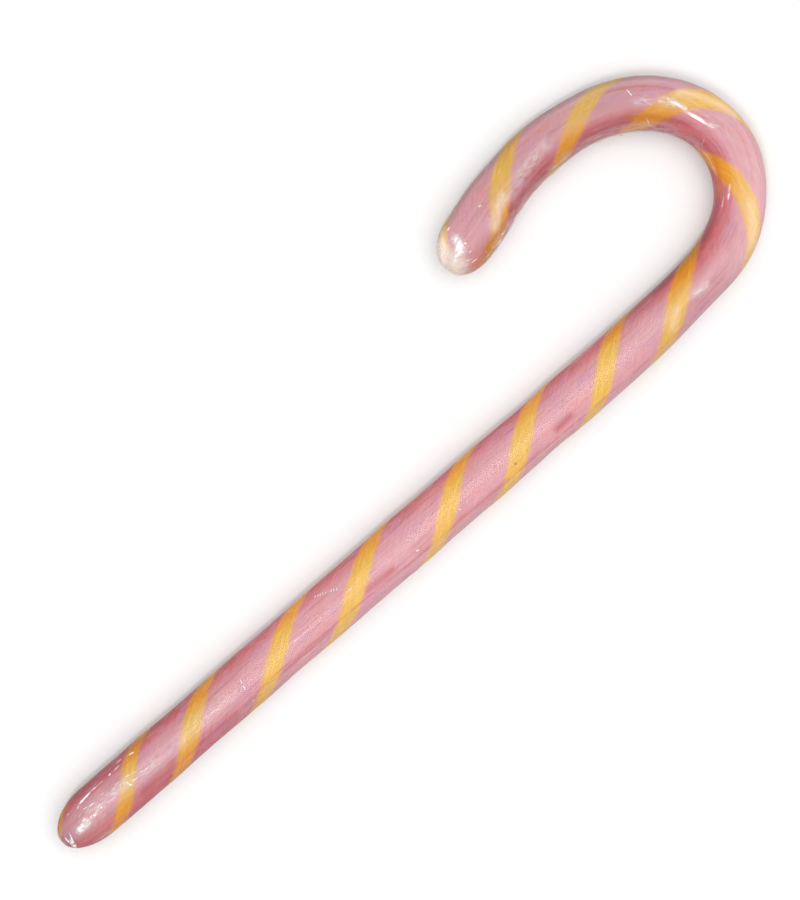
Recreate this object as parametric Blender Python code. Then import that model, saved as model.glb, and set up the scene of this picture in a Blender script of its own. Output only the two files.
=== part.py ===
"""A hard candy cane in its tight clear wrapper, lying on its side: one solid swept along its bends.

Metres, +Z up. The cane lies on z = 0 on a narrow flat. Its straight stem runs along +Y, from the
foot at the -Y end to the hook, which turns over towards -X. The origin is the middle of its
bounding box, on the surface that it lies on.
"""

import math

import bmesh
import bpy
from mathutils import Vector

MM = 0.001

# The usual thickness, and the flat along the underside.
DIAMETER = 8.0 * MM
FLAT_WIDTH = 2.2 * MM

# The centreline, from the foot's tip: the straight stem, then each bend's length and turn.
STEM_LENGTH = 103.0 * MM
BENDS = (
    (21.5 * MM, math.radians(6.0)),  # the stem begins to lean
    (15.0 * MM, math.radians(55.5)),  # outer shoulder
    (8.0 * MM, math.radians(39.5)),  # the tightest bend
    (8.0 * MM, math.radians(33.5)),  # crown
    (9.5 * MM, math.radians(29.5)),  # crown, opening out
    (11.0 * MM, math.radians(19.0)),
    (11.0 * MM, math.radians(16.0)),
    (9.0 * MM, math.radians(-14.0)),  # the end flicks back a little
)
BEND_EASE = 6.0 * MM  # the stretch over which one bend runs into the next

# Where the pulled candy came out thicker or thinner: place along it, reach, change in diameter.
SWELLS = (
    (18.0 * MM, 3.0 * MM, 0.12 * MM),
    (25.5 * MM, 6.0 * MM, -0.17 * MM),
    (42.0 * MM, 4.0 * MM, -0.20 * MM),
    (65.5 * MM, 3.5 * MM, 0.19 * MM),
    (80.5 * MM, 3.0 * MM, 0.16 * MM),
    (90.5 * MM, 3.0 * MM, -0.20 * MM),
    (97.0 * MM, 3.0 * MM, 0.12 * MM),
    (120.5 * MM, 6.5 * MM, -0.52 * MM),  # pinched where the hook starts
    (135.0 * MM, 5.0 * MM, -0.42 * MM),  # and along the outer shoulder
    (168.0 * MM, 5.5 * MM, -0.55 * MM),  # and past the crown
    (180.0 * MM, 4.5 * MM, -0.38 * MM),
    (187.0 * MM, 5.0 * MM, 0.40 * MM),  # swollen before the tip
)

# The rounded ends: a long dome on the foot, a blunt one on the tip, each a little to one side.
FOOT_DOME = 6.9 * MM
TIP_DOME = 4.7 * MM
FOOT_LEAN = 0.15 * MM
TIP_LEAN = -0.28 * MM

# How finely the solid is cut into rings.
RING_SIDES = 30
DOME_RINGS = 7
STEM_RING_GAP = 3.4 * MM
HOOK_RING_GAP = 1.75 * MM
WALK_STEP = 0.25 * MM

CANDY_PINK = (0.72, 0.36, 0.42, 1.0)
CANDY_ROUGHNESS = 0.22

LENGTH = STEM_LENGTH + sum(length for length, turn in BENDS)


def clear_scene():
    for thing in list(bpy.data.objects):
        bpy.data.objects.remove(thing, do_unlink=True)


def area_under_ramp(t):
    """Area, up to t, under a line that climbs from 0 at t = 0 to 1 at t = 1 and stays there."""
    climbing = min(max(t, 0.0), 1.0)
    return climbing * climbing / 2 + max(t - 1.0, 0.0)


def heading(distance):
    """Turn of the centreline away from +Y, towards -X, at a distance from the foot's tip."""
    turned = 0.0
    start = STEM_LENGTH
    for length, turn in BENDS:
        t = (distance - start) / length
        half = BEND_EASE / 2 / length
        turned += turn * (area_under_ramp(t + half) - area_under_ramp(t - half)) / (2 * half)
        start += length
    return turned


def centreline(stations):
    """(point, heading) at each station, walking from the foot's tip."""
    found = []
    point = Vector((0.0, 0.0, 0.0))
    walked = 0.0
    for station in stations:
        steps = max(1, math.ceil((station - walked) / WALK_STEP))
        step = (station - walked) / steps
        for k in range(steps):
            middle = heading(walked + (k + 0.5) * step)
            point += Vector((-math.sin(middle), math.cos(middle), 0.0)) * step
        walked = station
        found.append((point.copy(), heading(station)))
    return found


def body_radius(distance):
    """Radius of the round body, before the ends are domed."""
    change = sum(
        size * math.exp(-(((distance - place) / reach) ** 2)) for place, reach, size in SWELLS
    )
    return (DIAMETER + change) / 2


def dome_at(distance):
    """(share of the body's radius, sideways lean) at a distance from the foot's tip."""
    for depth, dome, lean in (
        (distance, FOOT_DOME, FOOT_LEAN),
        (LENGTH - distance, TIP_DOME, TIP_LEAN),
    ):
        if depth < dome:
            out = 1 - depth / dome
            return math.sqrt(max(0.0, 1 - out * out)), lean * out * out
    return 1.0, 0.0


def spaced(start, end, gap):
    """Stations from start towards end, which is left out, about a gap apart."""
    count = max(1, round((end - start) / gap))
    return [start + (end - start) * k / count for k in range(count)]


def ring_stations():
    """Distances of the rings between the two poles: close in the domes and round the hook."""
    quarter = [math.pi / 2 * (k + 1) / DOME_RINGS for k in range(DOME_RINGS - 1)]
    foot = [FOOT_DOME * (1 - math.cos(angle)) for angle in quarter]
    stem = spaced(FOOT_DOME, STEM_LENGTH, STEM_RING_GAP)
    hook = spaced(STEM_LENGTH, LENGTH - TIP_DOME, HOOK_RING_GAP)
    tip = [LENGTH - TIP_DOME + TIP_DOME * math.sin(angle) for angle in [0.0] + quarter]
    return foot + stem + hook + tip


def ring_points(distance, point, turn):
    """Points round the cane at one station: an even circle, cut off level at z = 0."""
    body = body_radius(distance)
    share, lean = dome_at(distance)
    radius = body * share
    height = math.sqrt(body**2 - (FLAT_WIDTH / 2) ** 2)
    outward = Vector((math.cos(turn), math.sin(turn), 0.0))
    middle = point + outward * lean + Vector((0.0, 0.0, height))
    half_flat = max(math.pi / RING_SIDES, math.acos(min(1.0, height / radius)))
    arc = 2 * (math.pi - half_flat)
    points = []
    for k in range(RING_SIDES):
        angle = -math.pi / 2 + half_flat + arc * k / (RING_SIDES - 1)
        rim = middle + outward * (radius * math.cos(angle))
        rim.z = max(0.0, middle.z + radius * math.sin(angle))
        points.append(rim)
    return points


def pole(distance, point, turn):
    """The point at the very end of a dome."""
    outward = Vector((math.cos(turn), math.sin(turn), 0.0))
    height = math.sqrt(body_radius(distance) ** 2 - (FLAT_WIDTH / 2) ** 2)
    return point + outward * dome_at(distance)[1] + Vector((0.0, 0.0, height))


def sweep_cane():
    """Mesh of the whole cane: rings joined along it, closed by a fan at each pole."""
    stations = [0.0] + ring_stations() + [LENGTH]
    line = centreline(stations)
    mesh = bmesh.new()
    rings = []
    for distance, (point, turn) in list(zip(stations, line))[1:-1]:
        rings.append([mesh.verts.new(p) for p in ring_points(distance, point, turn)])
    foot = mesh.verts.new(pole(0.0, *line[0]))
    tip = mesh.verts.new(pole(LENGTH, *line[-1]))
    for near, far in zip(rings, rings[1:]):
        for k in range(RING_SIDES):
            after = (k + 1) % RING_SIDES
            mesh.faces.new((near[k], near[after], far[after], far[k]))
    for k in range(RING_SIDES):
        after = (k + 1) % RING_SIDES
        mesh.faces.new((foot, rings[0][after], rings[0][k]))
        mesh.faces.new((tip, rings[-1][k], rings[-1][after]))
    bmesh.ops.recalc_face_normals(mesh, faces=mesh.faces)
    centre_on_origin(mesh)
    return mesh


def centre_on_origin(mesh):
    """Moves the mesh so that the origin is the middle of its box, seen from above."""
    across = [v.co.x for v in mesh.verts]
    along = [v.co.y for v in mesh.verts]
    middle = Vector(((min(across) + max(across)) / 2, (min(along) + max(along)) / 2, 0.0))
    bmesh.ops.translate(mesh, verts=mesh.verts, vec=-middle)


def candy_material():
    material = bpy.data.materials.new("candy")
    material.use_nodes = True
    shader = material.node_tree.nodes["Principled BSDF"]
    shader.inputs["Base Color"].default_value = CANDY_PINK
    shader.inputs["Roughness"].default_value = CANDY_ROUGHNESS
    shader.inputs["Metallic"].default_value = 0.0
    return material


def build():
    clear_scene()
    swept = sweep_cane()
    data = bpy.data.meshes.new("candy_cane")
    swept.to_mesh(data)
    swept.free()
    data.materials.append(candy_material())
    data.shade_smooth()
    cane = bpy.data.objects.new("candy_cane", data)
    bpy.context.scene.collection.objects.link(cane)
    return cane


build()
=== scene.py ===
"""Looks of a hard candy cane in tight clear film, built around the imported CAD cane.

Places on the cane are given in two numbers. "Along" is the distance in millimetres from the
foot's tip, measured on the centreline. "Round" is the angle in degrees from the top of the cane,
positive towards the stem's +X side, which becomes the outside of the hook.
"""

import math

import bpy
import numpy as np
from mathutils import Matrix, Vector, noise


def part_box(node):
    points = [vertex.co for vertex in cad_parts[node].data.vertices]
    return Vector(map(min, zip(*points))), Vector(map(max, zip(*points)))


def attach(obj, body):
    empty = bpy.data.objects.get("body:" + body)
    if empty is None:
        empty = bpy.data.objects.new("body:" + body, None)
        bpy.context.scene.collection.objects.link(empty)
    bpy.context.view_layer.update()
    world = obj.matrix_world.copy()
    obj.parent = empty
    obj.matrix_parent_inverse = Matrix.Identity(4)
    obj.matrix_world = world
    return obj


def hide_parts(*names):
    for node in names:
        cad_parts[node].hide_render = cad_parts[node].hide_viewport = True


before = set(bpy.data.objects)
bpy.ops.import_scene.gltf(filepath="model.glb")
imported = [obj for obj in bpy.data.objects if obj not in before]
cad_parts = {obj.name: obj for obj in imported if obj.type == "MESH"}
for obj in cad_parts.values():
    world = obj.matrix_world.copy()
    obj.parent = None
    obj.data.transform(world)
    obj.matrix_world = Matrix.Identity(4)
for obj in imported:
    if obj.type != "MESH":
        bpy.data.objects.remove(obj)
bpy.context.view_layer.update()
NODE = "candy_cane"
MM = 0.001
TAU = 2 * math.pi

# ---------------------------------------------------------------- the cane's form, as in the CAD

DIAMETER = 8.0
FLAT_WIDTH = 2.2
STEM_LENGTH = 103.0
BENDS = (  # length, turn in degrees
    (21.5, 6.0),
    (15.0, 55.5),
    (8.0, 39.5),
    (8.0, 33.5),
    (9.5, 29.5),
    (11.0, 19.0),
    (11.0, 16.0),
    (9.0, -14.0),
)
BEND_EASE = 6.0
SWELLS = (  # place along, reach, change in diameter
    (18.0, 3.0, 0.12),
    (25.5, 6.0, -0.17),
    (42.0, 4.0, -0.20),
    (65.5, 3.5, 0.19),
    (80.5, 3.0, 0.16),
    (90.5, 3.0, -0.20),
    (97.0, 3.0, 0.12),
    (120.5, 6.5, -0.52),
    (135.0, 5.0, -0.42),
    (168.0, 5.5, -0.55),
    (180.0, 4.5, -0.38),
    (187.0, 5.0, 0.40),
)
FOOT_DOME = 6.9
TIP_DOME = 4.7
FOOT_LEAN = 0.15
TIP_LEAN = -0.28
LENGTH = STEM_LENGTH + sum(length for length, turn in BENDS)

# ---------------------------------------------------------------- the two golden stripes

# Each time a stripe's middle crosses the top of the cane: place along, length of a full turn
# there, width as a share of a turn. The stripes wind left-handed, so their angle falls along it.
STRIPE_A = (
    (-18.0, 28.0, 0.12),
    (12.9, 25.5, 0.12),
    (41.1, 35.0, 0.125),
    (73.5, 31.0, 0.13),
    (103.1, 28.5, 0.14),
    (136.2, 39.0, 0.14),
    (167.8, 30.5, 0.145),
    (198.0, 30.0, 0.14),
    (228.0, 30.0, 0.14),
)
STRIPE_B = (
    (-31.0, 28.0, 0.12),
    (-3.2, 28.0, 0.12),
    (25.0, 29.0, 0.14),
    (56.2, 36.0, 0.135),
    (87.2, 30.0, 0.145),
    (117.2, 32.5, 0.155),
    (153.5, 34.0, 0.165),
    (182.6, 38.0, 0.14),
    (214.0, 32.0, 0.14),
)

# ---------------------------------------------------------------- how finely things are cut

RING_GAPS = (  # angle, step there: the shown upper half is cut finer than the underside
    (-180.0, 9.0),
    (-108.0, 9.0),
    (-96.0, 3.0),
    (96.0, 3.0),
    (108.0, 9.0),
    (180.0, 9.0),
)
FILM_GAP = 0.06  # the film stands this far off the candy
FLOOR_GAP = 0.03  # candy and floor keep this apart, as the film is under the candy


# ---------------------------------------------------------------- form


def area_under_ramp(t):
    climbing = np.clip(t, 0.0, 1.0)
    return climbing * climbing / 2 + np.maximum(t - 1.0, 0.0)


def heading(along):
    """Turn of the centreline away from +Y, towards -X, in radians."""
    turned = np.zeros_like(along)
    start = STEM_LENGTH
    for length, turn in BENDS:
        t = (along - start) / length
        half = BEND_EASE / 2 / length
        rise = (area_under_ramp(t + half) - area_under_ramp(t - half)) / (2 * half)
        turned = turned + math.radians(turn) * rise
        start += length
    return turned


def walk_centreline():
    """Table of the centreline: places along, and the x and y found there."""
    step = 0.05
    along = np.arange(0.0, LENGTH + step, step)
    middle = heading(along[:-1] + step / 2)
    x = np.concatenate([[0.0], np.cumsum(-np.sin(middle)) * step])
    y = np.concatenate([[0.0], np.cumsum(np.cos(middle)) * step])
    return along, x, y


LINE = walk_centreline()


def body_radius(along):
    change = sum(size * np.exp(-(((along - place) / reach) ** 2)) for place, reach, size in SWELLS)
    return (DIAMETER + change) / 2


def dome_share(along):
    """Share of the body's radius, and the sideways lean, that the domed ends leave."""
    share = np.ones_like(along)
    lean = np.zeros_like(along)
    for depth, dome, amount in (
        (along, FOOT_DOME, FOOT_LEAN),
        (LENGTH - along, TIP_DOME, TIP_LEAN),
    ):
        out = np.clip(1 - depth / dome, 0.0, 1.0)
        share = share * np.sqrt(np.maximum(0.0, 1 - out * out))
        lean = lean + amount * out * out
    return share, lean


def base_points(along, turn):
    """Points of the CAD's surface in millimetres, at places along and round angles in radians."""
    body = body_radius(along)
    share, lean = dome_share(along)
    radius = body * share
    height = np.sqrt(body**2 - (FLAT_WIDTH / 2) ** 2)
    head = heading(along)
    sideways = lean + radius * np.sin(turn)
    x = np.interp(along, LINE[0], LINE[1]) + np.cos(head) * sideways
    y = np.interp(along, LINE[0], LINE[2]) + np.sin(head) * sideways
    z = np.maximum(0.0, height + radius * np.cos(turn))
    return np.stack([x, y, z], -1)


def middle_of_form():
    """Where the middle of the form's own box lies, to be laid on the middle of the CAD's box."""
    along, turn = np.meshgrid(np.linspace(0, LENGTH, 1200), np.linspace(-math.pi, math.pi, 90))
    points = base_points(along, turn).reshape(-1, 3)
    return (points.min(0) + points.max(0)) / 2


CAD_LOW, CAD_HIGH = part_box(NODE)
SHIFT = np.array((CAD_LOW + CAD_HIGH) / 2)[:2] / MM - middle_of_form()[:2]


def outward(along, turn):
    """Unit normals of the form, from small steps along and round it."""
    d_along, d_turn, off_pole = 0.02, 0.002, 0.001
    along = np.clip(along, off_pole, LENGTH - off_pole)
    low = np.maximum(along - d_along, off_pole / 2)
    high = np.minimum(along + d_along, LENGTH - off_pole / 2)
    across = base_points(high, turn) - base_points(low, turn)
    around = base_points(along, turn + d_turn) - base_points(along, turn - d_turn)
    normal = np.cross(around, across)
    size = np.linalg.norm(normal, axis=-1, keepdims=True)
    return normal / np.maximum(size, 1e-12)


def on_cane(along, turn, lift, lowest=0.0):
    """Points in metres, in the CAD's frame, lifted off the form by lift millimetres."""
    points = base_points(along, turn) + outward(along, turn) * np.asarray(lift)[..., None]
    points[..., 2] = np.maximum(points[..., 2], lowest)
    points[..., :2] += SHIFT
    return points * MM


# ---------------------------------------------------------------- stripes and spots


def turns_and_width(stripe, along):
    """Turns wound by a stripe's middle since its first crossing, and its width there."""
    place, pitch, width = (np.array(column) for column in zip(*stripe))
    which = np.clip(np.searchsorted(place, along) - 1, 0, len(place) - 2)
    span = place[which + 1] - place[which]
    t = (along - place[which]) / span
    rise = t * t * (3 - 2 * t)
    slope_in = (t**3 - 2 * t**2 + t) * span / pitch[which]
    slope_out = (t**3 - t**2) * span / pitch[which + 1]
    return which + rise + slope_in + slope_out, np.interp(along, place, width)


def beside_stripe(stripe, along, turn):
    """Distance in millimetres from a stripe's nearer edge, below zero inside it."""
    turns, width = turns_and_width(stripe, along)
    apart = turn + TAU * turns
    apart = np.abs((apart + math.pi) % TAU - math.pi)
    return (apart - math.pi * width) * body_radius(along)


def streak(along, turn, start, end, half_width):
    """A soft line from one place and angle to another: 1 on it, falling off over its half width."""
    arc = turn * DIAMETER / 2
    first_arc, last_arc = (math.radians(angle) * DIAMETER / 2 for place, angle in (start, end))
    run_along, run_arc = end[0] - start[0], last_arc - first_arc
    share = (along - start[0]) * run_along + (arc - first_arc) * run_arc
    share = np.clip(share / (run_along**2 + run_arc**2), 0.0, 1.0)
    off_along = along - start[0] - share * run_along
    off_arc = arc - first_arc - share * run_arc
    return np.exp(-(off_along**2 + off_arc**2) / half_width**2)


def streaks(along, turn, rows):
    """The sum of streaks, each a row of start, end, half width and strength."""
    return sum(strength * streak(along, turn, *row) for *row, strength in rows)


def smooth(value, low, high):
    t = np.clip((value - low) / (high - low), 0.0, 1.0)
    return t * t * (3 - 2 * t)


def noise_at(points, size, seed=0.0):
    """Noise from -1 to 1 at each point, with features about one size across."""
    flat = (points / size + seed).reshape(-1, 3)
    values = np.fromiter((noise.noise(p) for p in map(Vector, flat)), float, len(flat))
    return values.reshape(points.shape[:-1])


def straightened(along, turn):
    """The cane's surface as if it had no hook, where patterns are drawn."""
    radius = body_radius(along)
    return np.stack([radius * np.cos(turn), radius * np.sin(turn), along], -1)


# ---------------------------------------------------------------- meshes


def stations(gaps):
    """Places or angles from first to last. Gaps are (place, step there), joined by straight lines."""
    place, gap = (np.array(column) for column in zip(*gaps))
    fine = np.linspace(place[0], place[-1], 4000)
    count = np.concatenate([[0.0], np.cumsum(np.diff(fine) / np.interp(fine[:-1], place, gap))])
    return np.interp(np.linspace(0, count[-1], int(round(count[-1])) + 1), count, fine)


RING = np.radians(stations(RING_GAPS)[:-1])


def closed_tube(name, along, turn, place_point, strips=3):
    """A closed skin of rings between two end points, with its map laid out in strips."""
    inner = along[1:-1]
    sides = len(turn)
    ring_along, ring_turn = np.meshgrid(inner, turn, indexing="ij")
    ends_along = np.array([along[0], along[-1]])
    every_along = np.concatenate([ring_along.ravel(), ends_along])
    every_turn = np.concatenate([ring_turn.ravel(), np.zeros(2)])
    points = place_point(every_along, every_turn)

    ring = np.arange(len(inner) - 1)[:, None] * sides
    here = np.arange(sides)[None, :]
    after = (here + 1) % sides
    quads = np.stack([ring + here, ring + after, ring + sides + after, ring + sides + here], -1)
    quads = quads.reshape(-1, 4)
    first, last = len(points) - 2, len(points) - 1
    final_ring = (len(inner) - 1) * sides
    caps = [(first, (j + 1) % sides, j) for j in range(sides)]
    caps += [(last, final_ring + j, final_ring + (j + 1) % sides) for j in range(sides)]
    mesh = bpy.data.meshes.new(name)
    mesh.from_pydata(points.tolist(), [], quads.tolist() + caps)
    mesh.shade_smooth()
    lay_out(mesh, every_along, every_turn, strips)
    piece = bpy.data.objects.new(name, mesh)
    bpy.context.scene.collection.objects.link(piece)
    return piece, every_along, every_turn


def lay_out(mesh, along, turn, strips):
    """Maps the skin for baking: the length is cut into strips, which lie one above the other."""
    corner = np.empty(len(mesh.loops), np.int32)
    mesh.loops.foreach_get("vertex_index", corner)
    face_start = np.empty(len(mesh.polygons), np.int32)
    mesh.polygons.foreach_get("loop_start", face_start)
    face_size = np.diff(np.append(face_start, len(corner)))
    face = np.repeat(np.arange(len(face_start)), face_size)
    share = (turn[corner] + math.pi) / TAU
    first = share[face_start][face]
    share = np.where(share - first > 0.5, share - 1, share)
    share = np.where(share - first < -0.5, share + 1, share)
    share = np.where(share < 0, share + 1, share)
    place = along[corner] / LENGTH * strips
    strip = np.minimum(np.floor(place[face_start]), strips - 1)[face]
    margin = 0.01
    u = margin + (1 - 2 * margin) * np.clip(place - strip, 0, 1)
    v = (strip + margin + (1 - 2 * margin) * np.clip(share, 0, 1)) / strips
    layer = mesh.uv_layers.new(name="OFBake")
    layer.uv.foreach_set("vector", np.stack([u, v], -1).astype(np.float32).ravel())


def keep_values(piece, **values):
    """Stores a number or a direction for each point, for the materials to read."""
    for name, value in values.items():
        value = np.asarray(value, np.float32)
        kind, field = ("FLOAT", "value") if value.ndim == 1 else ("FLOAT_VECTOR", "vector")
        made = piece.data.attributes.new(name, kind, "POINT")
        made.data.foreach_set(field, value.ravel())


def wound(along, turn):
    """Straightened points turned back by stripe A's winding, so that the stripes run straight."""
    unwound = turn + TAU * turns_and_width(STRIPE_A, along)[0]
    radius = body_radius(along)
    return np.stack([radius * np.cos(unwound), radius * np.sin(unwound), along], -1)


# ---------------------------------------------------------------- the candy


def painted_side_shade(along, degrees):
    """Painted shade: how deep the colour is made, from 0 on the lit top to 1 on the shaded sides and
    inside the hook.
    """
    foot = 1 - smooth(along, 24.0, 40.0)
    hook = smooth(along, 106.0, 126.0)
    tip = smooth(along, 184.0, 190.0)
    shoulder = smooth(along, 126.0, 134.0) * (1 - smooth(along, 146.0, 154.0))
    left = (0.8 + 0.45 * foot) * smooth(-degrees, 14.0, 72.0)
    inner = (0.92 - 0.62 * tip - 0.12 * shoulder) * smooth(-degrees, -35.0, 66.0)
    right = 0.08 * smooth(degrees, 12.0, 76.0) + 0.86 * foot * smooth(degrees, -6.0, 66.0)
    return np.maximum(left * (1 - hook) + inner * hook, right * (1 - hook))


def tone(along, degrees):
    """Painted light and shade: the brightness the sugar's colour is multiplied by, lighter along the
    stem, on its shoulders and round the outside of the hook, darker towards the foot, over most of
    the hook and on the rims.
    """
    # The outside of the hook is made lighter and the rims darker: painted light and painted shade.
    outside = smooth(along, 118.0, 136.0) * smooth(degrees, 4.0, 45.0)
    place, left, right = zip(*PAINTED_RIM_SHADES)
    rim_shade = np.interp(along, place, left) * smooth(-degrees, 44.0, 66.0)
    rim_shade = rim_shade + np.interp(along, place, right) * smooth(degrees, 44.0, 66.0)
    stem = smooth(along, 30.0, 46.0) * (1 - smooth(along, 146.0, 156.0))
    shoulders = 0.07 * stem * smooth(np.abs(degrees), 8.0, 40.0)
    foot_side = smooth(degrees, 4.0, 22.0) * (1 - smooth(degrees, 34.0, 52.0))
    shoulders = shoulders - 0.07 * (1 - smooth(along, 24.0, 40.0)) * foot_side
    # Over the end of the hook, a lighter and a darker band: painted light and painted shade.
    lean = smooth(along, 148.0, 154.0) * (1 - smooth(along, 184.0, 189.0))
    lit_band = np.exp(-(((degrees - 17.0) / 10.0) ** 2))
    shaded_band = np.exp(-(((degrees + 5.0) / 12.0) ** 2))
    shoulders = shoulders + lean * (0.05 * lit_band - 0.045 * shaded_band)
    return np.interp(along, *zip(*PAINTED_SHADING_ALONG)) * (1 + 0.30 * outside + shoulders) * (1 - rim_shade)


ROSE_STREAKS = (  # from (along, angle) to (along, angle), half width, strength
    ((0.5, -20.0), (0.6, 40.0), 0.35, 0.7),
    ((1.0, -52.0), (3.5, -70.0), 0.6, 0.45),
    ((6.0, -66.0), (13.0, -70.0), 0.6, 0.6),
    ((10.5, -24.0), (13.5, -18.0), 0.6, 0.3),
    ((14.0, 38.0), (31.0, 46.0), 0.8, 0.4),
    ((33.0, 42.0), (51.0, 38.0), 0.5, 0.35),
    ((56.5, 20.0), (61.5, 24.0), 0.7, 0.55),
    ((66.0, 40.0), (88.0, 44.0), 0.4, 0.3),
    ((92.5, 28.0), (95.0, 24.0), 0.65, 0.7),
    ((116.0, -66.0), (136.0, -62.0), 0.7, 0.8),
    ((142.8, -44.0), (148.2, -46.0), 0.6, 0.5),
    ((150.0, -34.0), (158.0, -38.0), 0.6, 0.4),
    ((153.0, 31.0), (166.0, 36.0), 0.28, 0.5),
    ((158.0, -38.0), (168.0, -44.0), 0.6, 0.45),
    ((174.5, -58.0), (184.5, -46.0), 0.42, 0.9),
    ((6.0, -74.0), (36.0, -78.0), 0.45, 0.6),
    ((42.0, -72.0), (68.0, -74.0), 0.45, 0.6),
    ((74.0, -74.0), (100.0, -72.0), 0.45, 0.6),
)
# Deep orange where the gold lies in shade, inside the hook, at the tip and on the rims: painted
# shade.
AMBER_SHADE_STREAKS = (
    ((1.5, -60.0), (4.0, -64.0), 0.5, 0.5),
    ((16.0, -62.0), (20.0, -60.0), 0.5, 0.6),
    ((136.0, -58.0), (142.5, -42.0), 0.7, 0.6),
    ((154.0, -38.0), (160.0, -30.0), 0.7, 0.6),
    ((186.0, -50.0), (190.5, -46.0), 0.5, 0.9),
    ((190.5, -56.0), (194.8, -50.0), 0.8, 0.55),
    ((189.5, -76.0), (194.6, -72.0), 0.7, 0.6),
    ((175.8, 60.0), (178.2, 42.0), 0.7, 0.3),
)
# The three rows on the outside of the hook, from 114 to 153 along, pale the sugar where light falls
# on it: painted light. The other rows are whitened film.
CREAM_AND_LIGHT_STREAKS = (
    ((183.2, -14.0), (187.4, -34.0), 0.85, 0.48),
    ((130.0, 52.0), (134.4, 18.0), 0.8, 0.28),
    ((116.4, 10.0), (114.2, 34.0), 0.7, 0.3),
    ((146.0, 56.0), (153.0, 26.0), 0.7, 0.35),
    ((192.4, 66.0), (194.4, 40.0), 0.8, 0.6),
    ((145.0, -64.0), (139.5, -61.0), 0.2, 0.3),
)
PAINTED_SHADING_ALONG = (  # place along, how much painted light and shade brighten or darken the sugar there
    (0.0, 0.83),
    (8.0, 0.90),
    (30.0, 0.96),
    (42.0, 1.02),
    (104.0, 1.02),
    (122.0, 0.88),
    (136.0, 0.96),
    (148.0, 0.90),
    (161.0, 0.77),
    (178.0, 0.78),
    (191.0, 0.88),
    (LENGTH, 1.05),
)
PAINTED_RIM_SHADES = (  # place along, how much painted shade darkens the left rim there, and the right rim
    (0.0, 0.20, 0.20),
    (30.0, 0.08, 0.10),
    (45.0, 0.0, 0.0),
    (104.0, 0.0, 0.0),
    (114.0, 0.22, 0.0),
    (126.0, 0.22, 0.0),
    (134.0, 0.0, 0.0),
    (148.0, 0.0, 0.0),
    (158.0, 0.0, 0.22),
    (LENGTH, 0.0, 0.22),
)
SEAM_LINE = (  # place along, angle of the film's lap edge
    (2.0, 62.0),
    (20.0, 50.0),
    (38.0, 37.0),
    (80.0, 44.0),
    (119.0, 52.0),
    (140.0, 74.0),
    (165.0, 92.0),
    (190.0, 96.0),
)


def seam_angle(along):
    place, angle = zip(*SEAM_LINE)
    return np.interp(along, place, angle)


CAP_GAP = -72.0  # the angle at which the tip's cream cap leaves a gap


def cream_share(along, turn):
    """Where stripe and body are pale: over the tip but for its inner edge, and in streaks, of which
    the three on the outside of the hook are painted light.
    """
    off_edge = np.abs((np.degrees(turn) - CAP_GAP + 180.0) % 360.0 - 180.0)
    cap = smooth(along, 192.4, 194.8) * smooth(off_edge, 12.0, 50.0)
    cap = np.maximum(cap, smooth(along, 194.4, 195.3))
    return np.minimum(streaks(along, turn, CREAM_AND_LIGHT_STREAKS) + 0.9 * cap, 1.0)


def candy_point(along, turn):
    lumps = 0.035 * noise_at(straightened(along, turn), 5.0, 3.1)
    ribs = 0.012 * noise_at(wound(along, turn) * (1.0, 1.0, 0.12), 1.3, 8.0)
    return on_cane(along, turn, lumps + ribs - FILM_GAP, FLOOR_GAP)


def make_candy():
    along = stations(((0, 0.12), (6, 0.3), (120, 0.36), (186, 0.3), (LENGTH, 0.12)))
    candy, along, turn = closed_tube("candy", along, RING, candy_point)
    degrees = np.degrees(turn)
    line = np.radians(degrees - seam_angle(along)) * body_radius(along)
    keep_values(
        candy,
        flow=straightened(along, turn),
        wound=wound(along, turn),
        edge=np.minimum(
            beside_stripe(STRIPE_A, along, turn), beside_stripe(STRIPE_B, along, turn)
        ),
        # side holds painted shade: deeper colour down the sides and inside the hook
        side=painted_side_shade(along, degrees),
        rose=np.minimum(streaks(along, turn, ROSE_STREAKS), 1.0),
        amber=np.minimum(streaks(along, turn, AMBER_SHADE_STREAKS), 1.0),
        cream=cream_share(along, turn),
        # painted light and shade along and across the cane, multiplied into the colour
        tone=tone(along, degrees),
        # lap: distance from the film's lap edge, for the painted shadow line beside it
        lap=np.where(along < 121, line, 9.0) + 0.4 * (1 - smooth(along, 52.0, 66.0)),
    )
    return candy


# ---------------------------------------------------------------- the film

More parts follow.
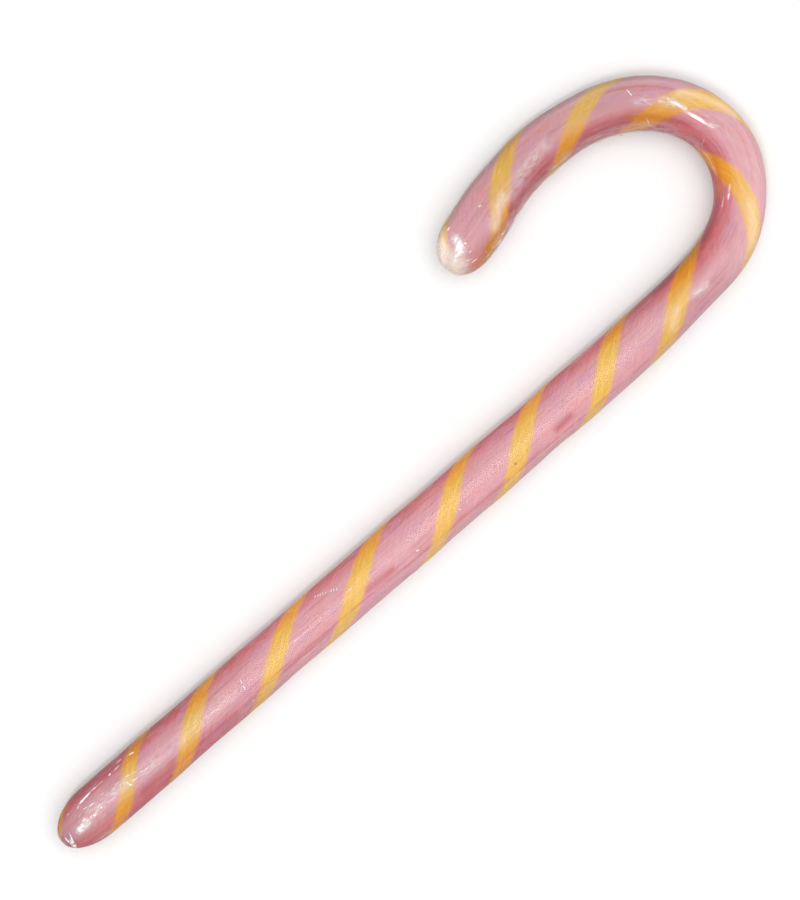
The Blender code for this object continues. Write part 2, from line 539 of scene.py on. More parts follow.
# Whitened film. Some rows are painted highlights and sheen: the foot's bright spot and halo, the soft
# band along the stem's top, the line over the crown and the tip's white patch.
FROST_AND_HIGHLIGHTS = (  # from (along, angle) to (along, angle), half width, strength
    ((3.6, 8.0), (5.0, 3.0), 0.52, 1.4),
    ((3.4, 10.0), (7.0, -6.0), 1.0, 0.14),
    ((6.4, -9.0), (12.6, -8.0), 0.8, 0.26),
    ((12.0, -4.0), (18.0, 4.0), 1.0, 0.16),
    ((18.0, 2.0), (32.0, 2.0), 1.2, 0.12),
    ((4.2, 60.0), (6.5, 60.0), 0.5, 0.3),
    ((120.2, 14.0), (121.8, 18.0), 0.7, 0.5),
    ((126.0, 44.0), (146.0, 38.0), 1.9, 0.2),
    ((152.0, 46.0), (170.0, 44.0), 1.2, 0.16),
    ((153.2, 4.0), (155.2, 3.0), 0.5, 0.5),
    ((154.2, 5.0), (151.4, -2.4), 0.2, 1.1),
    ((147.2, -3.0), (146.3, 1.4), 0.16, 0.9),
    ((157.0, 0.0), (158.8, 0.0), 0.5, 0.35),
    ((173.5, -2.0), (182.5, -25.0), 0.9, 0.32),
    ((183.0, -9.0), (187.5, -28.0), 0.6, 0.24),
    ((191.9, 20.0), (192.8, -2.0), 0.65, 1.4),
    ((192.6, 2.0), (194.2, -6.0), 0.5, 0.7),
)
CRUMPLED = (
    ((1.5, 0.0), (3.5, 0.0), 2.5, 0.4),
    ((7.0, -8.0), (14.0, -8.0), 1.6, 0.8),
    ((14.0, 0.0), (20.0, 6.0), 1.8, 0.4),
    ((119.0, 14.0), (123.0, 14.0), 1.6, 0.4),
    ((154.0, 0.0), (159.0, 0.0), 1.4, 0.7),
    ((172.0, -14.0), (190.0, -34.0), 1.6, 0.6),
    ((191.0, 10.0), (194.0, 6.0), 2.6, 1.1),
)


def inner_gathers(along, degrees):
    """Share of the gathers that the hook's inside squeezes into the film."""
    ends = smooth(along, 134.0, 148.0) * (1 - smooth(along, 187.0, 193.0))
    below = smooth(-degrees, 36.0, 62.0) * (1 - smooth(-degrees, 100.0, 128.0))
    return ends * below


def crumple(points, size, seed):
    """Sharp folds between flat facets, from 0 to 1."""
    return 1 - np.minimum(1.0, 2.2 * np.abs(noise_at(points, size, seed)))


CROWN_BRIDGE = 0.13  # the taut film stands this much further off the crown's outer shoulder


def film_lift(along, turn):
    """How far the film stands off the cane's form."""
    degrees = np.degrees(turn)
    flow = straightened(along, turn)
    lift = 0.018 * noise_at(flow * (1.0, 1.0, 0.35), 3.0, 5.0)
    lift += 0.006 * noise_at(flow * (1.0, 1.0, 0.06), 0.7, 9.0)
    folds = streaks(along, turn, CRUMPLED)
    lift += folds * (0.05 * crumple(flow, 1.5, 2.0) + 0.03 * crumple(flow, 0.75, 6.0))
    wander = noise_at(flow * (0.5, 0.5, 1.0), 2.2, 14.0)
    gather = 1 - np.abs(np.sin(math.pi * (along / 1.25 + 0.9 * wander)))
    lift += inner_gathers(along, degrees) * (0.10 + 0.16 * gather * (0.5 + wander) ** 2)
    bridge = smooth(along, 141.0, 148.0) * (1 - smooth(along, 153.0, 160.0))
    lift += CROWN_BRIDGE * bridge * smooth(degrees, -24.0, 22.0) * (1 - smooth(degrees, 30.0, 80.0))
    for pole, reach, pleats in ((0.0, 2.6, 17), (LENGTH, 3.0, 23)):
        near = 1 - smooth(np.abs(along - pole), 0.0, reach)
        rim = smooth(np.abs(along - pole), 0.0, 0.35)
        ripple = np.abs(np.sin(pleats / 2 * turn + 1.6 * noise_at(flow, 2.0, pleats)))
        lift += 0.10 * near * rim * ripple
    return lift


def film_point(along, turn):
    return on_cane(along, turn, film_lift(along, turn))


def film_frost(along, turn):
    """How much the film is crazed and whitened, from 0 to 1, counting painted highlights and sheen as
    whitening.
    """
    degrees = np.degrees(turn)
    frost = streaks(along, turn, FROST_AND_HIGHLIGHTS)
    frost += 0.28 * inner_gathers(along, degrees) * smooth(along, 140.0, 158.0)
    frost += 0.5 * smooth(along, 192.8, 194.8)
    frost += 0.12 * (1 - smooth(along, 0.0, 1.6))
    return np.minimum(frost, 1.5)


def make_film():
    along = stations(
        (
            (0, 0.09),
            (14, 0.12),
            (22, 0.2),
            (120, 0.24),
            (146, 0.15),
            (183, 0.15),
            (190, 0.09),
            (LENGTH, 0.09),
        )
    )
    film, along, turn = closed_tube("film", along, RING, film_point)
    keep_values(film, flow=straightened(along, turn), frost=film_frost(along, turn))
    return film


def strips_of(name, parts):
    """One piece from open strips, each a grid of points with its flow and its whitening of crazing
    and painted highlight.
    """
    corners, faces, flows, frosts = [], [], [], []
    for along, turn, lift, frost in parts:
        rows, columns = along.shape
        first = sum(len(c) for c in corners)
        corner = first + np.arange(rows * columns).reshape(rows, columns)
        quads = (corner[:-1, :-1], corner[:-1, 1:], corner[1:, 1:], corner[1:, :-1])
        corners.append(on_cane(along, turn, lift).reshape(-1, 3))
        faces.append(np.stack([q.ravel() for q in quads], -1))
        flows.append(straightened(along, turn).reshape(-1, 3))
        frosts.append(np.broadcast_to(frost, along.shape).ravel())
    mesh = bpy.data.meshes.new(name)
    mesh.from_pydata(np.concatenate(corners).tolist(), [], np.concatenate(faces).tolist())
    mesh.shade_smooth()
    piece = bpy.data.objects.new(name, mesh)
    bpy.context.scene.collection.objects.link(piece)
    keep_values(piece, flow=np.concatenate(flows), frost=np.concatenate(frosts))
    return piece


LAP_WIDTH = 30.0  # degrees of the ring that the film's two edges share
LAP_LIFT = 0.025


def make_seam():
    """The lap where the film's edges are welded, a flat band with one sharp edge."""
    along = np.arange(18.0, 190.0, 0.25)
    share = np.concatenate([[0.0, 0.02, 0.05], np.linspace(0.12, 1.0, 12)])
    along, share = np.meshgrid(along, share, indexing="ij")
    edge = seam_angle(along) + 0.9 * noise_at(np.stack([along, along * 0, along * 0], -1), 4.0, 3.0)
    turn = np.radians(edge + LAP_WIDTH * share)
    ends = smooth(along, 20.0, 66.0) * (1 - smooth(along, 184.0, 190.0))
    rise = smooth(share, 0.0, 0.05) * (1 - smooth(share, 0.55, 1.0))
    lift = film_lift(along, turn) - 0.004 + (0.004 + LAP_LIFT) * rise * ends
    frost = 0.05 * rise * ends + 0.08 * ends * np.exp(-((share - 0.06) / 0.05) ** 2)
    return strips_of("film_seam", [(along, turn, lift, frost)])


CREASES = (  # from (along, angle) to (along, angle), half width, height, whiteness: partly crazed film, partly painted glint
    ((1.1, -10.0), (1.1, 40.0), 0.18, 0.14, 1.3),
    ((2.1, -8.0), (1.25, 42.0), 0.18, 0.14, 1.3),
    ((1.5, 10.0), (1.15, 58.0), 0.38, 0.18, 1.6),
    ((3.3, -42.0), (3.8, -40.0), 0.14, 0.08, 1.2),
    ((5.1, -31.0), (5.9, -37.5), 0.14, 0.08, 1.4),
    ((5.7, -36.5), (8.3, -41.0), 0.25, 0.10, 2.2),
    ((8.2, -41.0), (9.3, -41.0), 0.15, 0.07, 1.6),
    ((9.0, -41.0), (10.9, -42.0), 0.10, 0.05, 0.9),
    ((11.5, -42.0), (12.2, -43.0), 0.15, 0.08, 2.0),
    ((12.4, -43.0), (13.9, -44.0), 0.13, 0.08, 1.5),
    ((13.5, -54.0), (14.7, -55.0), 0.12, 0.07, 1.1),
    ((4.4, -14.0), (5.2, -18.0), 0.10, 0.06, 1.3),
    ((5.6, -22.0), (6.6, -19.0), 0.10, 0.06, 1.1),
    ((6.6, -17.0), (7.9, -16.0), 0.12, 0.07, 1.3),
    ((7.4, -4.0), (8.6, -6.0), 0.10, 0.06, 1.1),
    ((9.0, -18.0), (9.8, -20.0), 0.10, 0.06, 1.3),
    ((9.9, -6.0), (11.2, -4.0), 0.11, 0.06, 1.2),
    ((11.2, -16.0), (12.4, -15.0), 0.12, 0.07, 1.4),
    ((12.2, -8.0), (13.2, -5.0), 0.10, 0.06, 1.2),
    ((13.0, -14.0), (14.2, -12.0), 0.10, 0.06, 1.1),
    ((13.6, 0.0), (14.6, 4.0), 0.11, 0.07, 1.2),
    ((15.0, -3.0), (16.0, 0.0), 0.10, 0.06, 1.1),
    ((15.6, 8.0), (16.6, 10.0), 0.09, 0.06, 1.0),
    ((16.8, -6.0), (17.8, -4.0), 0.10, 0.05, 0.6),
    ((17.6, 10.0), (18.8, 12.0), 0.10, 0.05, 0.5),
    ((15.6, -49.0), (16.6, -45.0), 0.17, 0.09, 2.2),
    ((4.6, 62.0), (5.5, 59.0), 0.10, 0.06, 0.7),
    ((12.9, 34.0), (13.5, 33.0), 0.07, 0.04, 0.6),
    ((12.6, 44.0), (13.2, 44.0), 0.07, 0.04, 0.6),
    ((6.1, -12.0), (7.2, -8.0), 0.12, 0.06, 0.7),
    ((8.1, -10.0), (10.1, 6.0), 0.12, 0.06, 0.5),
    ((7.8, 5.0), (8.6, 5.0), 0.10, 0.06, 0.6),
    ((9.3, -15.0), (10.4, -10.0), 0.10, 0.06, 0.6),
    ((10.5, -12.0), (12.0, -11.0), 0.12, 0.07, 0.7),
    ((11.4, -9.0), (11.7, 5.0), 0.10, 0.06, 0.6),
    ((12.5, 5.0), (13.4, 6.0), 0.10, 0.06, 0.4),
    ((14.4, -10.0), (15.2, -8.0), 0.12, 0.07, 0.7),
    ((22.3, -9.0), (23.0, -8.0), 0.12, 0.07, 0.9),
    ((20.9, 5.0), (21.5, 7.0), 0.09, 0.05, 0.7),
    ((29.5, -20.0), (32.5, -18.0), 0.06, 0.03, 0.5),
    ((31.5, -6.0), (34.0, -5.0), 0.05, 0.03, 0.4),
    ((34.9, -12.0), (34.6, 0.0), 0.11, 0.05, 1.4),
    ((34.6, 2.0), (34.5, 12.0), 0.15, 0.07, 2.2),
    ((38.5, 44.0), (41.0, 42.0), 0.06, 0.03, 0.6),
    ((43.0, 47.0), (45.5, 46.0), 0.07, 0.03, 0.7),
    ((46.5, 50.0), (48.5, 49.0), 0.06, 0.03, 0.6),
    ((34.2, 41.0), (34.4, 45.0), 0.10, 0.06, 1.5),
    ((54.7, -7.0), (55.5, -2.0), 0.11, 0.07, 1.4),
    ((54.9, -3.0), (54.9, 3.0), 0.09, 0.05, 1.2),
    ((65.7, 25.5), (66.3, 28.5), 0.15, 0.09, 2.0),
    ((74.2, 19.0), (74.6, 21.0), 0.12, 0.07, 1.6),
    ((133.3, -45.0), (135.6, -41.5), 0.14, 0.08, 0.5),
    ((134.7, -31.0), (137.7, -26.0), 0.22, 0.10, 1.3),
    ((137.6, 18.0), (136.8, 24.0), 0.12, 0.06, 0.6),
    ((140.0, 11.5), (140.4, 13.5), 0.11, 0.07, 1.1),
    ((146.9, -24.0), (145.7, -56.0), 0.10, 0.09, 0.6),
    ((145.7, -54.0), (145.5, -84.0), 0.12, 0.16, 0.5),
    ((151.1, -39.0), (150.7, -46.0), 0.07, 0.05, 0.4),
    ((154.6, 4.0), (152.6, 4.0), 0.13, 0.07, 0.9),
    ((153.9, 8.0), (153.4, 3.0), 0.06, 0.04, 0.6),
    ((155.8, -1.0), (155.6, 2.0), 0.09, 0.06, 0.9),
    ((156.9, 11.0), (156.5, 13.0), 0.10, 0.06, 0.7),
    ((157.3, 0.0), (157.8, -1.0), 0.12, 0.08, 1.0),
    ((158.1, 0.0), (158.6, -1.0), 0.10, 0.06, 0.8),
    ((159.9, 30.0), (159.2, 10.0), 0.16, 0.10, 1.4),
    ((159.2, 9.0), (159.1, -3.0), 0.10, 0.05, 0.4),
    ((159.6, -26.0), (158.4, -25.0), 0.08, 0.05, 0.6),
    ((157.4, -32.0), (156.4, -64.0), 0.11, 0.10, 0.7),
    ((157.9, -40.0), (157.0, -66.0), 0.07, 0.08, 0.5),
    ((156.4, -62.0), (156.2, -86.0), 0.12, 0.16, 0.5),
    ((183.1, -12.0), (183.4, -10.0), 0.09, 0.06, 0.7),
    ((185.7, 15.0), (186.3, 17.0), 0.14, 0.09, 1.3),
    ((187.2, -63.0), (187.7, -60.0), 0.12, 0.08, 0.8),
    ((187.7, -17.0), (188.1, -15.0), 0.12, 0.07, 0.7),
    ((191.9, 50.0), (190.9, 47.0), 0.24, 0.12, 1.3),
    ((192.4, -18.0), (191.8, -21.0), 0.11, 0.09, 1.2),
    ((190.8, -36.0), (190.8, -59.0), 0.07, 0.05, 0.4),
    ((194.6, -45.0), (195.1, -42.0), 0.10, 0.06, 0.9),
    ((192.6, -34.0), (193.6, -26.0), 0.10, 0.06, 1.4),
    ((193.4, -30.0), (194.4, -20.0), 0.10, 0.06, 1.5),
    ((193.8, -6.0), (194.8, 2.0), 0.12, 0.06, 1.6),
    ((193.0, 12.0), (194.0, 22.0), 0.10, 0.06, 0.8),
    ((192.2, 30.0), (193.4, 34.0), 0.12, 0.06, 0.8),
    ((194.4, 20.0), (195.2, 28.0), 0.10, 0.06, 0.8),
    ((191.0, 8.0), (191.6, 14.0), 0.10, 0.06, 0.6),
    ((192.0, -44.0), (193.2, -40.0), 0.10, 0.06, 1.2),
    ((181.0, -66.0), (182.4, -68.0), 0.10, 0.07, 0.6),
    ((183.6, -70.0), (185.0, -72.0), 0.12, 0.08, 1.4),
    ((185.6, -70.0), (186.8, -70.0), 0.10, 0.08, 1.3),
    ((188.0, -68.0), (189.6, -66.0), 0.14, 0.08, 1.5),
    ((190.0, -66.0), (191.4, -62.0), 0.12, 0.07, 1.4),
)
CRIMP = ((50.5, -40.0), (53.9, -17.0))
CRIMP_DASHES = 9
CREASE_STEP = 0.07


def crease(start, end, half_width, height, frost):
    """A small fold of film, tapering to nothing at both ends. Its whiteness is partly crazed film,
    partly a painted glint.
    """
    run = np.array([end[0] - start[0], math.radians(end[1] - start[1]) * DIAMETER / 2])
    length = np.hypot(*run)
    across = np.array([-run[1], run[0]]) / length
    t, side = np.meshgrid(
        np.linspace(0, 1, max(8, int(length / CREASE_STEP))), np.linspace(-1, 1, 9), indexing="ij"
    )
    taper = np.sqrt(np.maximum(np.sin(math.pi * t), 0.0))
    off = half_width * taper * side
    along = start[0] + run[0] * t + across[0] * off
    arc = run[1] * t + across[1] * off
    turn = math.radians(start[1]) + arc / (DIAMETER / 2)
    ridge = (1 - side**2) ** 1.5 * taper
    lift = film_lift(along, turn) - 0.005 + (0.005 + height) * ridge
    return along, turn, lift, frost * ridge


def make_creases():
    (first_along, first_angle), (last_along, last_angle) = CRIMP
    dashes = []
    for k in range(CRIMP_DASHES):
        t = k / CRIMP_DASHES
        place = first_along + (last_along - first_along) * t
        angle = first_angle + (last_angle - first_angle) * t
        # The crimp's white dashes are partly crazed film, partly painted glints.
        dashes.append(((place, angle), (place + 0.34, angle - 5.6), 0.09, 0.06, 2.2))
    return strips_of("film_creases", [crease(*row) for row in (*CREASES, *dashes)])


# ---------------------------------------------------------------- materials


def linear(red, green, blue):
    """A colour given in screen values from 0 to 255, as the light values that shaders take."""
    parts = (part / 255 for part in (red, green, blue))
    return (*(p / 12.92 if p <= 0.04045 else ((p + 0.055) / 1.055) ** 2.4 for p in parts), 1.0)


class Tree:
    """A new material's node tree, with short ways to add what the materials here use."""

    def __init__(self, name):
        self.material = bpy.data.materials.new(name)
        self.material.use_nodes = True
        self.nodes = self.material.node_tree.nodes
        self.links = self.material.node_tree.links
        self.nodes.clear()

    def add(self, kind, inputs, **settings):
        made = self.nodes.new(kind)
        for name, value in settings.items():
            setattr(made, name, value)
        for key, value in inputs.items():
            if isinstance(value, bpy.types.NodeSocket):
                self.links.new(value, made.inputs[key])
            else:
                made.inputs[key].default_value = value
        return made

    def stored(self, name, output="Fac"):
        return self.add("ShaderNodeAttribute", {}, attribute_name=name).outputs[output]

    def maths(self, operation, first, second=0.0, third=0.0):
        inputs = {0: first, 1: second, 2: third}
        return self.add("ShaderNodeMath", inputs, operation=operation).outputs[0]

    def stretched(self, vector, by):
        made = self.add("ShaderNodeVectorMath", {0: vector, 1: by}, operation="MULTIPLY")
        return made.outputs[0]

    def moved(self, vector, by):
        made = self.add("ShaderNodeVectorMath", {0: vector, 1: by}, operation="ADD")
        return made.outputs[0]

    def noise(self, vector, scale, detail=3.0, roughness=0.5):
        inputs = {"Vector": vector, "Scale": scale, "Detail": detail, "Roughness": roughness}
        return self.add("ShaderNodeTexNoise", inputs).outputs["Fac"]

    def spread(self, value, low, high, to_low=0.0, to_high=1.0):
        inputs = {
            "Value": value,
            "From Min": low,
            "From Max": high,
            "To Min": to_low,
            "To Max": to_high,
        }
        made = self.add("ShaderNodeMapRange", inputs, interpolation_type="SMOOTHSTEP")
        return made.outputs["Result"]

    def mix(self, share, first, second, blend="MIX"):
        inputs = {0: share, 6: first, 7: second}
        made = self.add("ShaderNodeMix", inputs, data_type="RGBA", blend_type=blend)
        return made.outputs[2]

    def bump(self, height, distance, strength=1.0):
        inputs = {"Height": height, "Distance": distance, "Strength": strength}
        return self.add("ShaderNodeBump", inputs).outputs["Normal"]

    def finish(self, surface):
        self.add("ShaderNodeOutputMaterial", {"Surface": surface})
        return self.material


# The top and side pinks, and the top and side golds, are lit and shaded copies of one colour each:
# painted light and shade.
PINK_LIT = linear(202, 146, 152)
PINK_SHADED = linear(202, 92, 98)
PINK_LILAC = linear(200, 138, 161)
PINK_BLUSH = linear(208, 134, 132)
ROSE = linear(172, 74, 86)
GOLD_LIT = linear(215, 168, 72)
GOLD_SHADED = linear(226, 146, 6)
GOLD_PALE = linear(232, 192, 104)
# Deep orange for gold in shade: painted shade.
AMBER_SHADE = linear(206, 124, 20)
CREAM = linear(245, 225, 204)
# Dark rose for the thin line beside the film's lap edge: painted shadow.
LAP_EDGE_SHADOW = linear(176, 92, 106)
SPECK = linear(138, 80, 30)
SPECK_PLACE = (84.7, 25.0)
EDGE_SOFTNESS = 0.58


def candy_material():
    """Pulled sugar: silky rose with two golden stripes, fine streaks along the pull."""
    t = Tree("pulled_sugar")
    flow = t.stored("flow", "Vector")
    wound_flow = t.stored("wound", "Vector")
    # side is painted shade: it deepens the colour down the sides and inside the hook
    side = t.stored("side")

    silk = t.noise(t.stretched(wound_flow, (1.0, 1.0, 0.07)), 1.7, 4.0, 0.62)
    fine_silk = t.noise(t.stretched(wound_flow, (1.0, 1.0, 0.10)), 4.5, 3.0, 0.6)
    cloud = t.noise(t.stretched(flow, (1.0, 1.0, 0.45)), 0.55, 3.0)
    grain = t.noise(flow, 2.8, 5.0, 0.8)
    pull = t.noise(t.stretched(flow, (1.0, 1.0, 0.045)), 2.1, 3.0, 0.6)
    # The pull streaks are the sugar's own, but they are drawn stronger where the painted shade is
    # deep.
    pulled = t.maths("MULTIPLY_ADD", side, 0.35, 0.28)

    uneven = t.spread(silk, 0.32, 0.68, -0.08, 0.08)
    # depth is the painted side shade plus the silk's own unevenness; it mixes the lit and shaded
    # copies.
    depth = t.maths("ADD", side, uneven)
    pink = t.mix(t.spread(depth, 0.0, 1.0), PINK_LIT, PINK_SHADED)
    pink = t.mix(t.spread(cloud, 0.51, 0.66, 0.0, 0.6), pink, PINK_LILAC)
    pink = t.mix(t.spread(cloud, 0.47, 0.34, 0.0, 0.4), pink, PINK_BLUSH)
    pink = t.mix(t.maths("MULTIPLY", t.spread(pull, 0.53, 0.70), pulled), pink, ROSE)
    pink = t.mix(t.stored("rose"), pink, ROSE)

    gold = t.mix(t.spread(depth, 0.0, 0.72), GOLD_LIT, GOLD_SHADED)
    gold = t.mix(t.spread(fine_silk, 0.5, 0.75, 0.0, 0.55), gold, GOLD_PALE)

    wander = t.maths("MULTIPLY", t.maths("SUBTRACT", t.noise(flow, 0.8, 3.0), 0.5), 0.7)
    fray = t.maths("MULTIPLY", t.maths("SUBTRACT", fine_silk, 0.5), 0.6)
    edge = t.maths("ADD", t.maths("ADD", t.stored("edge"), wander), fray)
    stripe = t.spread(edge, EDGE_SOFTNESS, -EDGE_SOFTNESS)
    colour = t.mix(stripe, pink, gold)
    colour = t.mix(t.stored("amber"), colour, AMBER_SHADE)
    colour = t.mix(t.stored("cream"), colour, CREAM)

    # The grain's speckle is the sugar's own; the stored brightness adds painted light and shade.
    grain_and_shading = t.maths("MULTIPLY", t.spread(grain, 0.38, 0.62, 0.945, 1.05), t.stored("tone"))
    grain_and_shading = t.maths("MULTIPLY", t.spread(pull, 0.50, 0.32, 1.0, 1.08), grain_and_shading)
    grain_and_shading = t.maths("MULTIPLY", t.spread(fine_silk, 0.36, 0.66, 0.79, 0.88), grain_and_shading)
    shade = t.add("ShaderNodeCombineColor", {0: grain_and_shading, 1: grain_and_shading, 2: grain_and_shading}).outputs[0]
    colour = t.mix(1.0, colour, shade, "MULTIPLY")

    # A thin dark line beside the film's lap edge, broken in places: painted shadow.
    lap = t.maths("ABSOLUTE", t.maths("ADD", t.stored("lap"), t.maths("MULTIPLY", wander, 0.25)))
    broken = t.spread(t.noise(flow, 0.6, 2.0), 0.36, 0.56, 0.08, 0.5)
    colour = t.mix(t.maths("MULTIPLY", t.spread(lap, 0.28, 0.05), broken), colour, LAP_EDGE_SHADOW)

    place, angle = SPECK_PLACE
    radius = DIAMETER / 2
    middle = (
        -radius * math.cos(math.radians(angle)),
        -radius * math.sin(math.radians(angle)),
        -place,
    )
    away = t.add("ShaderNodeVectorMath", {0: t.moved(flow, middle)}, operation="LENGTH")
    speck = t.spread(away.outputs["Value"], 0.28, 0.10, 0.0, 0.75)
    colour = t.mix(speck, colour, SPECK)

    height = t.maths("ADD", t.maths("MULTIPLY", fine_silk, 0.6), t.maths("MULTIPLY", grain, 0.04))
    shader = t.add(
        "ShaderNodeBsdfPrincipled",
        {
            "Base Color": colour,
            "Roughness": t.spread(silk, 0.3, 0.7, 0.46, 0.62),
            "Specular IOR Level": 0.25,
            "Normal": t.bump(height, 0.00003, 0.35),
        },
    )
    return t.finish(shader.outputs[0])


FILM_MIRROR_RISE = 0.12  # share of true Fresnel mirroring, kept low as real film lies close on
FILM_MIRROR_LEAST = 0.017


def film_material(name, tint, haze, frosting):
    """Clear shrink film: sharp gloss, and a white crazing where it is crumpled, some of which is
    painted highlight.
    """
    t = Tree(name)
    flow = t.stored("flow", "Vector")
    frost = t.stored("frost")
    craze = t.noise(t.stretched(flow, (1.0, 1.0, 0.6)), 1.7, 5.0, 0.65)
    fibre = t.noise(t.stretched(flow, (1.0, 1.0, 0.22)), 5.0, 3.0, 0.6)
    broken = t.maths("ADD", t.maths("MULTIPLY", craze, 0.6), t.maths("MULTIPLY", fibre, 0.4))
    # Whitening of crazed film, and painted highlights, which the white shader below shows.
    milk_and_highlight = t.maths("MULTIPLY", frost, t.spread(broken, 0.36, 0.62, 0.15, 1.3))
    lines = t.noise(t.stretched(flow, (1.0, 1.0, 0.05)), 3.2, 4.0, 0.6)
    drawn = t.maths("ADD", t.spread(lines, 0.52, 0.74, 0.0, 0.10), haze)
    cover = t.maths("MINIMUM", t.maths("MULTIPLY_ADD", milk_and_highlight, frosting, drawn), 0.92)

    rumple = t.maths("MULTIPLY", t.maths("ADD", frost, 0.03), craze)
    height = t.maths("ADD", t.maths("MULTIPLY", lines, 0.35), t.maths("MULTIPLY", rumple, 1.6))
    normal = t.bump(height, 0.00004, 0.5)

    mirrored = t.add("ShaderNodeFresnel", {"IOR": 1.5, "Normal": normal}).outputs[0]
    share = t.maths("MULTIPLY_ADD", mirrored, FILM_MIRROR_RISE, FILM_MIRROR_LEAST)
    clear = t.add("ShaderNodeBsdfTransparent", {"Color": (1.0, 1.0, 1.0, 1.0)}).outputs[0]
    glossy = {"Color": (1.0, 1.0, 1.0, 1.0), "Roughness": 0.09, "Normal": normal}
    gloss = t.add("ShaderNodeBsdfGlossy", glossy).outputs[0]
    sheet = t.add("ShaderNodeMixShader", {0: share, 1: clear, 2: gloss}).outputs[0]
    white = {"Base Color": tint, "Roughness": 0.3, "Normal": normal}
    milk_and_highlight_shader = t.add("ShaderNodeBsdfPrincipled", white).outputs[0]
    return t.finish(t.add("ShaderNodeMixShader", {0: cover, 1: sheet, 2: milk_and_highlight_shader}).outputs[0])


# ---------------------------------------------------------------- studio


def towards(azimuth, from_vertical):
    """A direction. Azimuth is in degrees from +X towards +Y."""
    a, v = math.radians(azimuth), math.radians(from_vertical)
    return Vector((math.cos(a) * math.sin(v), math.sin(a) * math.sin(v), math.cos(v)))


STEM_IN_PICTURE = math.radians(40.9)  # the stem rises this much above the picture's horizontal
PICTURE_RIGHT = Vector((math.sin(STEM_IN_PICTURE), math.cos(STEM_IN_PICTURE), 0.0))
PICTURE_UP = Vector((-math.cos(STEM_IN_PICTURE), math.sin(STEM_IN_PICTURE), 0.0))
PICTURE_HEIGHT = 129.1 * MM  # at the height of the cane's middle
PICTURE_MIDDLE = PICTURE_RIGHT * 4.84 * MM - PICTURE_UP * 1.59 * MM
CAMERA_DISTANCE = 600.0 * MM
SENSOR = 36.0


def make_camera():
    data = bpy.data.cameras.new("camera")
    data.sensor_width = SENSOR
    data.lens = SENSOR * CAMERA_DISTANCE / PICTURE_HEIGHT
    data.clip_start = 0.01
    camera = bpy.data.objects.new("camera", data)
    bpy.context.scene.collection.objects.link(camera)
    middle_height = (CAD_LOW.z + CAD_HIGH.z) / 2
    place = PICTURE_MIDDLE + Vector((0, 0, middle_height + CAMERA_DISTANCE))
    turn = Matrix((PICTURE_RIGHT, PICTURE_UP, Vector((0, 0, 1)))).transposed().to_4x4()
    camera.matrix_world = Matrix.Translation(place) @ turn
    bpy.context.scene.camera = camera


LIGHT_DISTANCE = 2.0


def make_light(name, direction, wide, high, radiance, roll_towards):
    """A soft panel of light aimed at the cane. Wide and high are its apparent size in degrees."""
    data = bpy.data.lights.new(name, "AREA")
    data.shape = "RECTANGLE"
    data.size = 2 * LIGHT_DISTANCE * math.tan(math.radians(wide / 2))
    data.size_y = 2 * LIGHT_DISTANCE * math.tan(math.radians(high / 2))
    data.energy = radiance * math.pi * data.size * data.size_y
    light = bpy.data.objects.new(name, data)
    bpy.context.scene.collection.objects.link(light)
    back = direction.normalized()
    along = (roll_towards - back * roll_towards.dot(back)).normalized()
    up = back.cross(along)
    turn = Matrix((along, up, back)).transposed().to_4x4()
    light.matrix_world = Matrix.Translation(back * LIGHT_DISTANCE) @ turn
    light.visible_camera = False
    return light


SKY_EVEN = 0.50
SKY_LOBE = 2.85
SKY_LOBE_TILT = 11.0
SKY_LOBE_POWER = 5.0


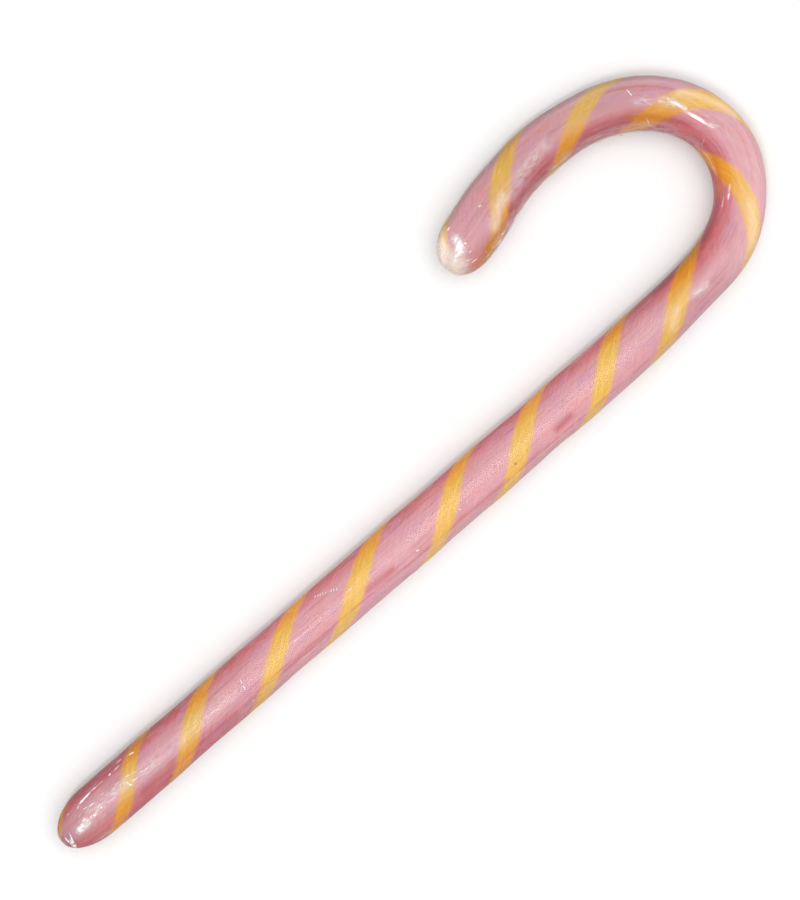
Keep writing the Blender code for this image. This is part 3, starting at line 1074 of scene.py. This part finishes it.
def make_sky():
    """Even white light from all round, stronger from overhead and a little to the right."""
    world = bpy.data.worlds.new("studio")
    bpy.context.scene.world = world
    world.use_nodes = True
    tree = world.node_tree
    tree.nodes.clear()
    azimuth = math.degrees(math.atan2(PICTURE_RIGHT.y, PICTURE_RIGHT.x))
    middle = towards(azimuth, SKY_LOBE_TILT)
    places = tree.nodes.new("ShaderNodeTexCoord")
    facing = tree.nodes.new("ShaderNodeVectorMath")
    facing.operation = "DOT_PRODUCT"
    facing.inputs[1].default_value = middle
    tree.links.new(places.outputs["Generated"], facing.inputs[0])
    positive = tree.nodes.new("ShaderNodeMath")
    positive.operation = "MAXIMUM"
    positive.inputs[1].default_value = 0.0
    tree.links.new(facing.outputs["Value"], positive.inputs[0])
    lobe = tree.nodes.new("ShaderNodeMath")
    lobe.operation = "POWER"
    lobe.inputs[1].default_value = SKY_LOBE_POWER
    tree.links.new(positive.outputs[0], lobe.inputs[0])
    strength = tree.nodes.new("ShaderNodeMath")
    strength.operation = "MULTIPLY_ADD"
    strength.inputs[1].default_value = SKY_LOBE
    strength.inputs[2].default_value = SKY_EVEN
    tree.links.new(lobe.outputs[0], strength.inputs[0])
    background = tree.nodes.new("ShaderNodeBackground")
    background.inputs["Color"].default_value = (1.0, 1.0, 1.0, 1.0)
    tree.links.new(strength.outputs[0], background.inputs["Strength"])
    output = tree.nodes.new("ShaderNodeOutputWorld")
    tree.links.new(background.outputs[0], output.inputs["Surface"])


def make_studio():
    make_sky()
    make_light("window", towards(-65.0, 16.5), 4.2, 12.0, 49.6, Vector((1.0, 0.4, 0.0)))
    make_light("low_window", towards(-137.0, 58.0), 5.0, 3.5, 10.0, Vector((-1.0, 1.0, 0.0)))


FLOOR_SIZE = 12.0
FLOOR_DROP = 0.02 * MM  # the floor lies this far below the cane, so that the two never meet


def make_floor():
    t = Tree("floor")
    white = {"Base Color": (0.70, 0.70, 0.70, 1.0), "Roughness": 0.7, "Specular IOR Level": 0.2}
    material = t.finish(t.add("ShaderNodeBsdfPrincipled", white).outputs[0])
    bpy.ops.mesh.primitive_plane_add(size=FLOOR_SIZE, location=(0, 0, CAD_LOW.z - FLOOR_DROP))
    floor = bpy.context.object
    floor.name = "floor"
    floor.data.materials.append(material)


def make_cane():
    clear = film_material("shrink_film", linear(232, 224, 223), 0.004, 0.8)
    doubled = film_material("shrink_film_lap", linear(232, 212, 220), 0.01, 0.8)
    pieces = (
        (make_candy(), "candy", candy_material()),
        (make_film(), "wrapper_film", clear),
        (make_seam(), "wrapper_film", doubled),
        (make_creases(), "wrapper_film", clear),
    )
    for piece, slot, material in pieces:
        piece.data.materials.append(material)
        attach(piece, "root")
        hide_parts(NODE)


bpy.context.scene.view_settings.view_transform = "Standard"
make_camera()
make_cane()
make_floor()
make_studio()
